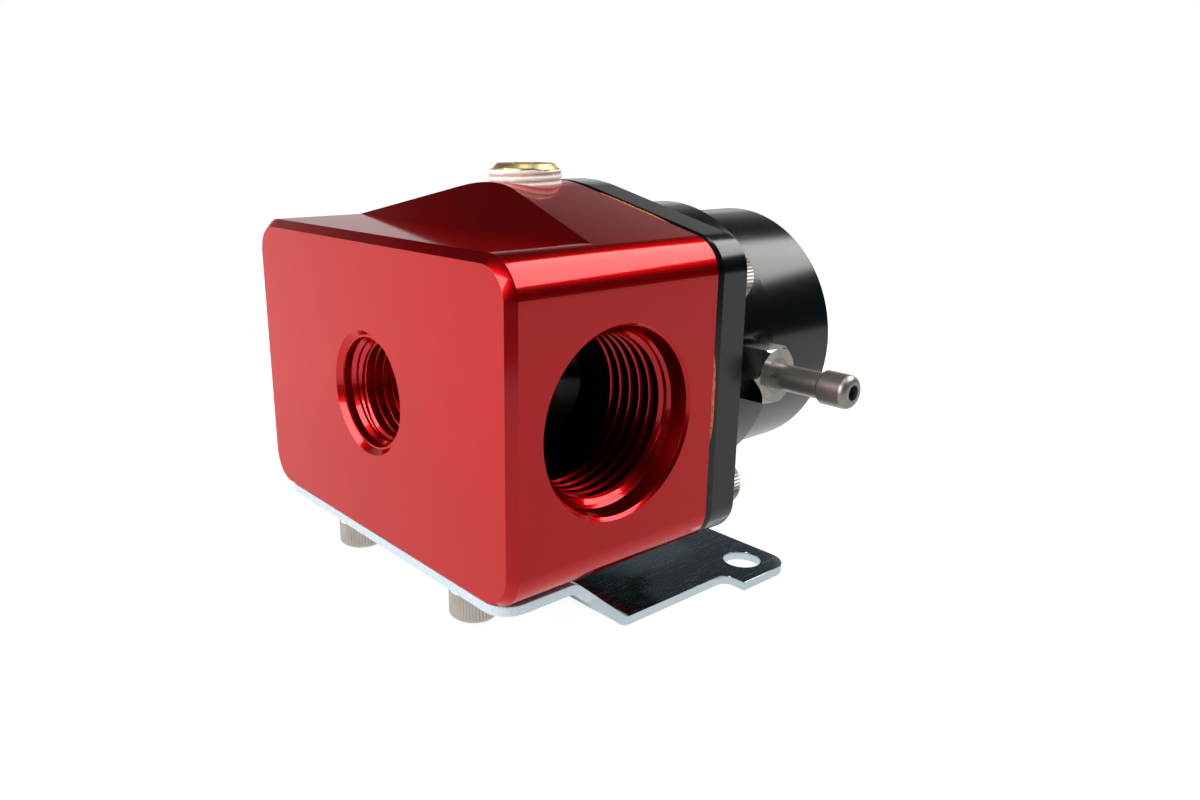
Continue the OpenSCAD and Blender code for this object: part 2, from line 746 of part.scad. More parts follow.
module bracket_flat_washers() {
    color([0.74, 0.76, 0.78]) placed() at_bracket_screws(-sheet_t - washer_t) difference() {
        cylinder(r = washer_r, h = washer_t);
        translate([0, 0, -over]) cylinder(r = passing_r, h = washer_t + 2 * over);
    }
}

module bracket_lock_washers() {
    color([0.66, 0.67, 0.68]) placed() at_bracket_screws(-sheet_t - washer_t - lock_washer_t) difference() {
        cylinder(r = screw_head_d / 2, h = lock_washer_t);
        translate([0, 0, -over]) cylinder(r = passing_r, h = lock_washer_t + 2 * over);
        translate([-lock_slot / 2, 0, -over]) cube([lock_slot, screw_head_d, lock_washer_t + 2 * over]);
    }
}

body();
valve_seat();
seat_o_ring();
valve_disc();
diaphragm_stud();
diaphragm_fuel_plate();
diaphragm();
diaphragm_spring_plate();
diaphragm_washer();
diaphragm_nut();
regulator_spring();
spring_seat();
thrust_ball();
adjusting_screw();
jam_nut();
jam_nut_seal_washer();
cover();
cover_screws();
gauge_port_plug();
plug_thread_tape();
vacuum_nipple();
bracket();
bracket_screws();
bracket_flat_washers();
bracket_lock_washers();
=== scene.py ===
import json
import math

import bmesh
import bpy
from bpy.props import FloatProperty, FloatVectorProperty, IntProperty, PointerProperty
from mathutils import Matrix, Vector, noise


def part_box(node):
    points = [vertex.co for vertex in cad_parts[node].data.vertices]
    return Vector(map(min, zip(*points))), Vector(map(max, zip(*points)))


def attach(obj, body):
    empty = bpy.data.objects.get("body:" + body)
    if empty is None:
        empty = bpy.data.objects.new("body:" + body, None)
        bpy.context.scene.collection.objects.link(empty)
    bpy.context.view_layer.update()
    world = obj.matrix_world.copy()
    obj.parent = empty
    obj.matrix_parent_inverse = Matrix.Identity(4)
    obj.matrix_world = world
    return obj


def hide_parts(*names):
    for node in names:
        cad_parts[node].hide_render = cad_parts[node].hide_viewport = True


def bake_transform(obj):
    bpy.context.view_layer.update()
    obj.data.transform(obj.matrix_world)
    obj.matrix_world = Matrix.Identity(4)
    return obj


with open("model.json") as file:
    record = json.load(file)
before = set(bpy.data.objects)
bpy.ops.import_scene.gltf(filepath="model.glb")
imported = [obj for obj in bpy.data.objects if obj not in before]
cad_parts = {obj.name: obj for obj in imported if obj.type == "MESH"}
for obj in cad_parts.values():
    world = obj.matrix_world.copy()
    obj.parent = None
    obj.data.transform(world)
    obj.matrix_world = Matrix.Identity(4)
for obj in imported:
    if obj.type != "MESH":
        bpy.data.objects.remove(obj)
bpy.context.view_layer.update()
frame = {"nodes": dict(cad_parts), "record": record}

bl_info = {
    "name": "Fuel pressure regulator",
    "version": (1, 0, 0),
    "blender": (4, 5, 0),
    "location": "View3D > Sidebar > Regulator",
    "description": "Dresses the packed regulator with threads, knurls, worn edges and finishes",
    "category": "Object",
}

MM = 0.001
BODY_OF = {n: b for b, nodes in frame["record"]["behaviour"]["bodies"].items() for n in nodes}
SLOT_OF = {row["node"]: row["material_slot"] for row in frame["record"]["subparts"]}
MOUNTS = {mount["name"]: mount for mount in frame["record"]["mounts"]}
AXIS_Z = MOUNTS["return_port"]["pos_m"][2]
DOME = 0.9
PLUG_LOW, PLUG_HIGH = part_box("gauge_port_plug")
PLUG_CENTRE = (PLUG_LOW + PLUG_HIGH) / 2
TAPE_LOW, TAPE_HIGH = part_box("plug_thread_tape")
TAPE_R = (TAPE_HIGH.x - TAPE_LOW.x) / 2
TAPE_T = 0.25 * MM
HEAD_R, HEAD_H, SHANK_R = 3.43 * MM, 4.17 * MM, 2.08 * MM
NIPPLE_LOW, NIPPLE_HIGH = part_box("vacuum_nipple")
NIPPLE_CENTRE = (NIPPLE_LOW + NIPPLE_HIGH) / 2


def length(name, text, default):
    return FloatProperty(name=name, description=text, default=default, min=0.0, unit="LENGTH", precision=6)


def colour(name, text, default):
    return FloatVectorProperty(
        name=name, description=text, default=default, size=3, min=0.0, max=1.0, subtype="COLOR"
    )


class RegulatorSizes(bpy.types.PropertyGroup):
    """Small shapes that the solids leave out."""

    edge_break: length("Edge break", "Width of the broken edges on turned and milled pieces", 0.16 * MM)
    sheet_break: length("Sheet edge", "Width of the rolled-over edges on the bracket", 0.42 * MM)
    inlet_pitch: length("Inlet pitch", "Pitch of the inlet threads, 14 to the inch", 1.814 * MM)
    return_pitch: length("Return pitch", "Pitch of the return thread, 18 to the inch", 1.411 * MM)
    adjuster_pitch: length("Adjuster pitch", "Pitch of the adjusting screw, 24 to the inch", 1.058 * MM)
    tape_pitch: length("Plug pitch", "Pitch of the plug's thread, 27 to the inch", 0.94 * MM)
    knurl_depth: length("Knurl depth", "Depth of the straight knurl on the screw heads", 0.16 * MM)
    knurl_count: IntProperty(
        name="Knurl ridges", description="Ridges round a screw head", default=44, min=12, max=90
    )
    fray: length("Fray", "Raggedness of the diaphragm's cut edge", 0.22 * MM)


class RegulatorColours(bpy.types.PropertyGroup):
    """Colours of the finishes."""

    red: colour("Red", "Red anodised body", (0.68, 0.005, 0.008))
    black: colour("Black", "Black anodised cover", (0.0012, 0.0020, 0.0026))
    brass: colour("Brass", "Brass plug and seat", (0.86, 0.68, 0.33))
    nickel: colour("Nickel", "Boost nipple", (0.52, 0.49, 0.46))
    screw: colour("Screw", "Socket screws", (0.66, 0.61, 0.55))
    zinc: colour("Zinc", "Bracket and flat washers", (0.70, 0.81, 0.87))
    steel: colour("Steel", "Inner steel pieces and jam nut", (0.60, 0.59, 0.57))
    oxide: colour("Black oxide", "Adjusting screw", (0.055, 0.055, 0.06))
    orange: colour("Orange", "Cut edge of the diaphragm", (0.70, 0.15, 0.03))
    tape: colour("Tape", "Thread sealing tape", (0.92, 0.88, 0.84))
    rubber: colour("Rubber", "Valve disc and seal ring", (0.018, 0.018, 0.018))


class Wire:
    """A socket of a node tree that takes Python's operators."""

    def __init__(self, tree, socket):
        self.tree = tree
        self.socket = socket

    def maths(self, operation, first, second):
        return self.tree.node("ShaderNodeMath", {"operation": operation}, {0: first, 1: second})

    def __add__(self, other):
        return self.maths("ADD", self, other)

    def __radd__(self, other):
        return self.maths("ADD", other, self)

    def __sub__(self, other):
        return self.maths("SUBTRACT", self, other)

    def __rsub__(self, other):
        return self.maths("SUBTRACT", other, self)

    def __mul__(self, other):
        return self.maths("MULTIPLY", self, other)

    def __rmul__(self, other):
        return self.maths("MULTIPLY", other, self)

    def __truediv__(self, other):
        return self.maths("DIVIDE", self, other)

    def __rtruediv__(self, other):
        return self.maths("DIVIDE", other, self)

    def __pow__(self, other):
        return self.maths("POWER", self, other)

    def __rpow__(self, other):
        return self.maths("POWER", other, self)

    def __lt__(self, other):
        return self.maths("LESS_THAN", self, other)

    def __gt__(self, other):
        return self.maths("GREATER_THAN", self, other)

    def __abs__(self):
        return self.maths("ABSOLUTE", self, 0.0)


class Tree:
    """A node tree of a material or the world."""

    def __init__(self, owner):
        owner.use_nodes = True
        self.owner = owner
        self.tree = owner.node_tree
        self.tree.nodes.clear()

    def node(self, kind, settings=None, inputs=None, output=0):
        made = self.tree.nodes.new(kind)
        for key, value in (settings or {}).items():
            if key == "stops":
                self.set_stops(made.color_ramp, value)
            else:
                setattr(made, key, value)
        for key, value in (inputs or {}).items():
            socket = made.inputs[key]
            if isinstance(value, Wire):
                self.tree.links.new(value.socket, socket)
            else:
                socket.default_value = value
        return Wire(self, made.outputs[output]) if made.outputs else None

    def set_stops(self, ramp, stops):
        while len(ramp.elements) < len(stops):
            ramp.elements.new(1.0)
        for element, (place, value) in zip(ramp.elements, stops):
            element.position = place
            element.color = (value, value, value, 1.0)

    def place(self, centre=(0, 0, 0), turn=(0, 0, 0), scale=(1, 1, 1)):
        """Object coordinates, moved so that a pattern is centred on a piece."""
        coords = self.node("ShaderNodeTexCoord", output="Object")
        moved = self.node(
            "ShaderNodeVectorMath", {"operation": "SUBTRACT"}, {0: coords, 1: tuple(centre)}
        )
        return self.node(
            "ShaderNodeMapping", {}, {"Vector": moved, "Rotation": tuple(turn), "Scale": tuple(scale)}
        )

    def grain(self, size, vector, detail=3.0, rough=0.55):
        """Noise whose blotches are about size metres across."""
        settings = {"noise_dimensions": "3D"}
        inputs = {"Vector": vector, "Scale": 1.0 / size, "Detail": detail, "Roughness": rough}
        return self.node("ShaderNodeTexNoise", settings, inputs)

    def lines(self, size, along, detail=2.0):
        """Noise along one value, for tool marks."""
        settings = {"noise_dimensions": "1D"}
        inputs = {"W": along / size, "Detail": detail, "Roughness": 0.6, "Scale": 1.0}
        return self.node("ShaderNodeTexNoise", settings, inputs)

    def ramp(self, value, *stops):
        return self.node("ShaderNodeValToRGB", {"stops": stops}, {"Fac": value})

    def mix(self, factor, first, second):
        inputs = {0: factor, 6: self.rgba(first), 7: self.rgba(second)}
        return self.node("ShaderNodeMix", {"data_type": "RGBA"}, inputs, 2)

    def rgba(self, value):
        return value if isinstance(value, Wire) else (value[0], value[1], value[2], 1.0)

    def bump(self, height, strength, distance):
        return self.node(
            "ShaderNodeBump", {}, {"Height": height, "Strength": strength, "Distance": distance}
        )

    def axes(self, centre=(0, 0, 0)):
        """The three object coordinates as values, measured from a point."""
        spot = self.place(centre)
        return [self.node("ShaderNodeSeparateXYZ", {}, {"Vector": spot}, letter) for letter in "XYZ"]

    def about(self, centre, axis):
        """Distances along and from the axis of a turned piece."""
        parts = self.axes(centre)
        run = parts.pop("XYZ".index(axis))
        return run, (parts[0] * parts[0] + parts[1] * parts[1]) ** 0.5

    def turning(self, centre, axis):
        """A value that changes along the axis of a turned piece and across its end faces."""
        run, radius = self.about(centre, axis)
        return run + radius

    def surface(self, inputs):
        shader = self.node("ShaderNodeBsdfPrincipled", {}, inputs)
        self.node("ShaderNodeOutputMaterial", {}, {"Surface": shader})
        return self.owner


def new_finish(name):
    return Tree(bpy.data.materials.new(name))


def darker(value, share):
    return tuple(part * share for part in value)


def port_end(name, axis):
    """Place of a port thread's inner end along its axis."""
    mount = MOUNTS[name]
    return abs(mount["pos_m"][axis]) - mount["dims"]["length_mm"] * MM / 2


def painted_shade_mask(tree):
    """1 on the walls of the fuel chamber and of the inlet passages, which are painted black inside as shade.
    """
    overlap, half_height, boss_half = 1.5 * MM, 13.3 * MM, 10.9 * MM
    rear, front = -14.2 * MM, -41.3 * MM
    x, y, z = tree.axes((0, 0, AXIS_Z))
    side = abs(x)
    within = (side < port_end("right_inlet", 0) + overlap) * (abs(z) < half_height) * (y < rear)
    chamber = y > -port_end("return_port", 1)
    passage = (side > boss_half) * (y > front)
    return within * (chamber + passage > 0.5)


def bore_mask(tree):
    """1 inside the three ports, which are machined smoother than the faces."""
    inlet_r, return_r, return_front = 11.98 * MM, 7.95 * MM, -9 * MM
    centre = (0, MOUNTS["right_inlet"]["pos_m"][1], AXIS_Z)
    inlets = tree.about(centre, "X")[1] < inlet_r
    run, radius = tree.about(centre, "Y")
    outlet = (radius < return_r) * (run < return_front)
    return inlets + outlet > 0.5


def red_anodise(colours):
    tree = new_finish("red_anodise")
    spot = tree.place()
    cloud = tree.grain(9 * MM, spot)
    speck = tree.grain(0.35 * MM, spot, 1.0)
    blast = tree.grain(0.09 * MM, spot, 2.0)
    painted_shade = painted_shade_mask(tree)
    red = tuple(colours.red)
    tint = tree.mix(tree.ramp(cloud, (0.3, 0.0), (0.7, 1.0)), darker(red, 0.93), red)
    dot = tree.ramp(speck, (0.76, 0.0), (0.80, 1.0))
    base = tree.mix(dot * 0.25, tint, darker(red, 0.45))
    return tree.surface({
        # Painted shade: in the chamber and the passages the red turns near black, dull and without coat.
        "Base Color": tree.mix(painted_shade, base, (0.003, 0.004, 0.004)),
        "Metallic": 1.0 - painted_shade,
        "Roughness": 0.30 + cloud * 0.05 + painted_shade * 0.5 - bore_mask(tree) * 0.05,
        "Specular Tint": (1.0, 0.02, 0.03, 1.0),
        "IOR": 1.1,
        "Coat Weight": 0.85 - painted_shade * 0.85,
        "Coat Roughness": 0.07,
        "Coat IOR": 1.5,
        "Normal": tree.bump(blast, 0.10, 0.02 * MM),
    })


def black_anodise(colours):
    tree = new_finish("black_anodise")
    spot = tree.place()
    cloud = tree.grain(7 * MM, spot)
    turning = tree.turning((0, 0, AXIS_Z), "Y")
    fine = tree.lines(0.10 * MM, turning)
    coarse = tree.lines(0.9 * MM, turning)
    dust = tree.grain(0.4 * MM, spot, 1.0)
    black = tuple(colours.black)
    mote = tree.ramp(dust, (0.80, 0.0), (0.83, 1.0))
    base = tree.mix(mote * 0.15, tree.mix(cloud, black, darker(black, 1.7)), (0.20, 0.19, 0.18))
    return tree.surface({
        "Base Color": base,
        "Metallic": 0.0,
        "Roughness": 0.13 + coarse * 0.06 + cloud * 0.04,
        "IOR": 1.65,
        "Normal": tree.bump(fine, 0.15, 0.012 * MM),
    })


def turned_metal(name, base, centre, axis, rough, line_size=0.08 * MM, depth=0.35, flats=None):
    """Bright metal with the tool marks of a lathe, polished beyond the radius where flats begin."""
    polish = 0.04
    tree = new_finish(name)
    spot = tree.place()
    stain = tree.grain(2.2 * MM, spot)
    run, radius = tree.about(centre, axis)
    fine = tree.lines(line_size, run + radius)
    band = tree.lines(8 * line_size, run + radius)
    base = tuple(base)
    tint = tree.mix(tree.ramp(stain, (0.35, 0.0), (0.75, 1.0)), base, darker(base, 0.78))
    dull = rough + band * 0.10 + stain * 0.06
    if flats:
        dull = dull - (radius > flats) * (rough - polish)
    return tree.surface({
        "Base Color": tree.mix(fine * 0.35, tint, darker(base, 0.6)),
        "Metallic": 1.0,
        "Roughness": dull,
        "Normal": tree.bump(fine, depth, 0.010 * MM),
    })


def zinc_plate(colours):
    """Rolled zinc plated sheet, scratched on its flat faces, which carry a painted dark reflection, and satin
    where it holds the body.
    """
    plate_low = 6 * MM
    painted_dark_reflection, scratch = (0.30, 0.40, 0.45), (0.9, 0.93, 0.95)
    tree = new_finish("zinc_plate")
    spot = tree.place()
    cloud = tree.grain(6 * MM, spot)
    rolled = tree.grain(1.0 * MM, tree.place(scale=(9, 0.6, 9)), 3.0)
    marks = None
    for turn, size, start in ((0.5, 0.8, 0.70), (-0.9, 1.1, 0.72), (1.35, 0.7, 0.73)):
        streak = tree.grain(size * MM, tree.place(turn=(0, 0, turn), scale=(14, 0.16, 14)), 1.0)
        mark = tree.ramp(streak, (start, 0.0), (start + 0.03, 1.0))
        marks = mark if marks is None else marks + mark
    plate = tree.axes()[2] > plate_low
    marks = marks * (1.0 - plate)
    zinc = tuple(colours.zinc)
    # Faces that point up or down are painted dark: a painted reflection of the dark surroundings they mirror.
    normal = tree.node("ShaderNodeNewGeometry", output="Normal")
    rise = abs(tree.node("ShaderNodeSeparateXYZ", {}, {"Vector": normal}, "Z"))
    painted_reflection_mask = tree.ramp(rise, (0.80, 0.0), (0.95, 1.0)) * (1.0 - plate)
    bright = tree.mix(cloud, zinc, darker(zinc, 0.88))
    tint = tree.mix(painted_reflection_mask, bright, painted_dark_reflection)
    return tree.surface({
        "Base Color": tree.mix(marks * 0.5, tint, scratch),
        "Metallic": 1.0 - plate * 0.5,
        "Roughness": 0.09 + rolled * 0.10 + marks * 0.30 + plate * 0.12,
        "Normal": tree.bump(rolled - marks * 0.6, 0.14, 0.02 * MM),
    })


def sealing_tape(colours):
    dirty, bare = (0.60, 0.50, 0.42), (0.38, 0.26, 0.16)
    tree = new_finish("sealing_tape")
    spot = tree.place(PLUG_CENTRE)
    fleck = tree.grain(0.5 * MM, spot, 4.0)
    wrap = tree.grain(0.25 * MM, tree.place(PLUG_CENTRE, scale=(1, 1, 5)), 3.0)
    tape = tuple(colours.tape)
    sunk = (TAPE_R - tree.about(PLUG_CENTRE, "Z")[1]) / TAPE_T
    groove = tree.ramp(sunk + fleck * 0.4, (0.50, 0.0), (0.95, 1.0))
    dirt = tree.ramp(fleck, (0.55, 0.0), (0.75, 1.0))
    worn = tree.mix(dirt * 0.35, tape, dirty)
    return tree.surface({
        "Base Color": tree.mix(groove * 0.75, worn, bare),
        "Metallic": 0.0,
        "Roughness": 0.45 + wrap * 0.25,
        "Normal": tree.bump(wrap, 0.5, 0.06 * MM),
    })


def cut_fabric(colours):
    tree = new_finish("cut_fabric")
    spot = tree.place()
    thread = tree.grain(0.35 * MM, spot, 4.0)
    orange = tuple(colours.orange)
    return tree.surface({
        "Base Color": tree.mix(tree.ramp(thread, (0.35, 0.0), (0.65, 1.0)), darker(orange, 0.35), orange),
        "Metallic": 0.0,
        "Roughness": 0.65 + thread * 0.25,
        "Normal": tree.bump(thread, 0.6, 0.08 * MM),
    })


def moulded_rubber(colours):
    tree = new_finish("moulded_rubber")
    spot = tree.place()
    cloud = tree.grain(0.8 * MM, spot, 3.0)
    rubber = tuple(colours.rubber)
    return tree.surface({
        "Base Color": tree.mix(cloud, rubber, darker(rubber, 1.8)),
        "Metallic": 0.0,
        "Roughness": 0.45 + cloud * 0.2,
        "Normal": tree.bump(cloud, 0.2, 0.02 * MM),
    })


FINISHES = {}


def make_finishes(colours):
    """One material for each slot of the record, and a second one where the lathe's axis differs."""
    axis = (0, 0, AXIS_Z)
    FINISHES.update({
        "red_anodised": red_anodise(colours),
        "black_anodised": black_anodise(colours),
        "brass": turned_metal("plug_brass", colours.brass, PLUG_CENTRE, "Z", 0.28),
        "seat_brass": turned_metal("seat_brass", colours.brass, axis, "Y", 0.22),
        "black_rubber": moulded_rubber(colours),
        "orange_diaphragm": cut_fabric(colours),
        "plain_steel": turned_metal("plain_steel", colours.steel, axis, "Y", 0.26),
        "spring_steel": turned_metal("spring_wire", darker(tuple(colours.steel), 0.6), axis, "Y", 0.3),
        "polished_steel": turned_metal("ball_steel", (0.78, 0.78, 0.78), axis, "Y", 0.06, depth=0.05),
        "black_steel": turned_metal("black_oxide", colours.oxide, axis, "Y", 0.32),
        "nickel_screw": turned_metal("screw_nickel", colours.screw, axis, "Y", 0.30),
        "nickel_fitting": turned_metal(
            "nipple_nickel", colours.nickel, NIPPLE_CENTRE, "X", 0.34, flats=2.7 * MM
        ),
        "white_tape": sealing_tape(colours),
        "zinc_sheet": zinc_plate(colours),
    })


def new_piece(name, bm, node, finish=None, sharp=32.0, hides=True, body=None, between=None):
    """Makes an object of a bmesh, with smooth faces and sharp creases, on a body, or baked in place with no
    body when it lies between two.
    """
    for face in bm.faces:
        face.smooth = True
    mesh = bpy.data.meshes.new(name)
    bm.to_mesh(mesh)
    bm.free()
    mesh.set_sharp_from_angle(angle=math.radians(sharp))
    piece = bpy.data.objects.new(name, mesh)
    bpy.context.scene.collection.objects.link(piece)
    mesh.materials.append(FINISHES[finish or SLOT_OF[node]])
    if between:
        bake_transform(piece)
    else:
        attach(piece, body or BODY_OF[node])
    if hides:
        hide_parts(node)
    return piece


def even_normals(piece):
    """Lets the large faces set the shading of the broken edges."""
    modifier = piece.modifiers.new("even_normals", "WEIGHTED_NORMAL")
    modifier.keep_sharp = True


def solid_copy(node):
    """A merged copy of a CAD node's mesh, with its flat faces joined."""
    bm = bmesh.new()
    bm.from_mesh(frame["nodes"][node].data)
    bmesh.ops.remove_doubles(bm, verts=bm.verts, dist=0.002 * MM)
    bmesh.ops.dissolve_limit(
        bm, angle_limit=math.radians(0.4), use_dissolve_boundaries=False, verts=bm.verts, edges=bm.edges
    )
    return bm


def break_edges(bm, width, angle=28.0, segments=2):
    """Bevels every edge that is sharper than an angle."""
    limit = math.radians(angle)
    edges = [e for e in bm.edges if e.is_manifold and e.calc_face_angle() > limit]
    bmesh.ops.bevel(
        bm, geom=edges, offset=width, offset_type="OFFSET", affect="EDGES", segments=segments,
        profile=0.5, material=-1, clamp_overlap=True, loop_slide=True,
    )


def dressed_copy(name, node, width, finish=None):
    """A CAD node's solid with its edges broken."""
    bm = solid_copy(node)
    break_edges(bm, width)
    even_normals(new_piece(name, bm, node, finish))


def along(point, direction):
    """Matrix that stands +Z on a direction at a point."""
    turn = Vector(direction).to_track_quat("Z", "Y").to_matrix().to_4x4()
    return Matrix.Translation(Vector(point)) @ turn


def radius_of(vert):
    return math.hypot(vert.co.x, vert.co.y)


def set_radius(vert, radius):
    share = radius / radius_of(vert)
    vert.co.x *= share
    vert.co.y *= share


def cut_across(bm, place, side=1, **clear):
    """Cuts a mesh on a level plane, whose outer side is up or down."""
    bmesh.ops.bisect_plane(
        bm, geom=bm.verts[:] + bm.edges[:] + bm.faces[:], dist=1e-8, plane_co=(0, 0, place),
        plane_no=(0, 0, side), **clear,
    )


def thread_surface(pitch, root, crest, run, steps, valley=0.125, flank=0.3125):
    """Open helical thread about +Z from z = 0 to z = run, as a spun profile cut square at its ends."""
    bm = bmesh.new()
    verts = []
    for turn in range(-2, int(run / pitch) + 2):
        for radius, share in ((root, 0.0), (root, valley), (crest, valley + flank), (crest, 1.0 - flank)):
            verts.append(bm.verts.new((radius, 0, (turn + share) * pitch)))
    edges = [bm.edges.new(pair) for pair in zip(verts, verts[1:])]
    bmesh.ops.spin(
        bm, geom=verts + edges, cent=(0, 0, 0), axis=(0, 0, 1), dvec=(0, 0, pitch / steps),
        angle=math.tau, steps=steps, use_merge=False, use_duplicate=False,
    )
    bmesh.ops.remove_doubles(bm, verts=bm.verts, dist=0.003 * MM)
    for place, side in ((0.0, -1), (run, 1)):
        cut_across(bm, place, side, clear_outer=True)
    return bm


def rim_edges(bm, place):
    return [
        e for e in bm.edges
        if e.is_boundary and all(abs(v.co.z - place) < 1e-7 for v in e.verts)
    ]


def grow_rim(bm, edges, radius, place):
    """Extrudes a rim to a circle of another radius and returns the new rim."""
    made = bmesh.ops.extrude_edge_only(bm, edges=edges)["geom"]
    for vert in (g for g in made if isinstance(g, bmesh.types.BMVert)):
        set_radius(vert, radius)
        vert.co.z = place
    fresh = [g for g in made if isinstance(g, bmesh.types.BMEdge)]
    return [e for e in fresh if e.is_boundary]


def lead_radius(lead, place):
    """Radius of a stepped lead-in, given as pairs of depth and radius in millimetres."""
    for (near, wide), (far, tight) in zip(lead, lead[1:]):
        if place <= far * MM:
            share = (place / MM - near) / (far - near)
            return (wide + (tight - wide) * share) * MM
    return 0.0


def port_thread(name, mount, pitch, lead, behind, forward, turn):
    """Worn threaded sleeve on the wall of a port, closed behind the wall, with a stepped lead-in."""
    gap = 0.05 * MM
    steps, valley, flank = 96, 0.06, 0.18
    major = mount["dims"]["r_mm"] * MM - gap
    crest = major - flank * pitch * math.sqrt(3)
    half = mount["dims"]["length_mm"] * MM / 2
    run = 2 * half + forward
    outside = Vector(mount["axis"])
    mouth = Vector(mount["pos_m"]) + outside * (half + forward)
    bm = thread_surface(pitch, major, crest, run, steps, valley, flank)
    for depth, _ in lead[1:]:
        cut_across(bm, depth * MM)
    for vert in bm.verts:
        least = lead_radius(lead, vert.co.z)
        if radius_of(vert) < least:
            set_radius(vert, least)
    rims = []
    for place in (0.0, run):
        rims += grow_rim(bm, rim_edges(bm, place), behind, place)
    bmesh.ops.bridge_loops(bm, edges=rims)
    bmesh.ops.recalc_face_normals(bm, faces=bm.faces)
    stand = along(mouth, -outside) @ Matrix.Rotation(turn, 4, "Z")
    bmesh.ops.transform(bm, matrix=stand, verts=bm.verts)
    new_piece(name, bm, "body", hides=False, sharp=25.0)


def sink_socket(bm, hexagon, depth):
    """Extrudes the mouth of a hexagonal socket downwards and closes its floor."""
    made = bmesh.ops.extrude_edge_only(bm, edges=hexagon)["geom"]
    floor = [g for g in made if isinstance(g, bmesh.types.BMVert)]
    bmesh.ops.translate(bm, vec=(0, 0, -depth), verts=floor)
    bottom = [g for g in made if isinstance(g, bmesh.types.BMEdge) and g.is_boundary]
    cap = bmesh.ops.edgeloop_fill(bm, edges=bottom)["faces"]
    bmesh.ops.inset_individual(bm, faces=cap, thickness=0.3 * MM)


def ring_edges(bm, segments, radius, place):
    """A loose circle at a height, as its edges."""
    ring = bmesh.ops.create_circle(bm, segments=segments, radius=radius)["verts"]
    bmesh.ops.translate(bm, vec=(0, 0, place), verts=ring)
    return list({e for v in ring for e in v.link_edges})


def socket_screw(shank, ridges):
    """Socket screw about +Z with the underside of its head on z = 0 and its shank below."""
    bm = bmesh.new()
    socket_r, chamfer, edge, tip = 2.06 * MM, 0.42 * MM, 0.24 * MM, 0.4 * MM
    hexagon = ring_edges(bm, 6, socket_r, HEAD_H)
    rim = ring_edges(bm, 2 * ridges, HEAD_R - chamfer, HEAD_H)
    bmesh.ops.bridge_loops(bm, edges=hexagon + rim)
    steps = [
        (HEAD_R, HEAD_H - chamfer), (HEAD_R, edge), (HEAD_R - edge, 0.0), (SHANK_R, 0.0),
        (SHANK_R, tip - shank), (SHANK_R - tip, -shank),
    ]
    for radius, place in steps:
        rim = grow_rim(bm, rim, radius, place)
    bmesh.ops.edgeloop_fill(bm, edges=rim)
    sink_socket(bm, hexagon, HEAD_H / 2)
    bmesh.ops.recalc_face_normals(bm, faces=bm.faces)
    return bm


def knurl(bm, depth, ridges):
    """Pulls every other line of a head's side inwards."""
    for vert in bm.verts:
        if radius_of(vert) > HEAD_R - 1e-6 and vert.co.z > 0:
            line = round(math.atan2(vert.co.y, vert.co.x) / math.tau * 2 * ridges)
            if line % 2:
                set_radius(vert, HEAD_R - depth)


def cover_screw_places(y):
    """Where the axes of the cover screws pass a plane across the regulator."""
    low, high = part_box("cover_screws")
    return [
        Vector((x, y, z))
        for x in (low.x + HEAD_R, high.x - HEAD_R) for z in (low.z + HEAD_R, high.z - HEAD_R)
    ]


class RegulatorOperator:
    """What the regulator's operators share."""

    bl_options = {"REGISTER"}

    @property
    def sizes(self):
        return bpy.context.scene.regulator_sizes


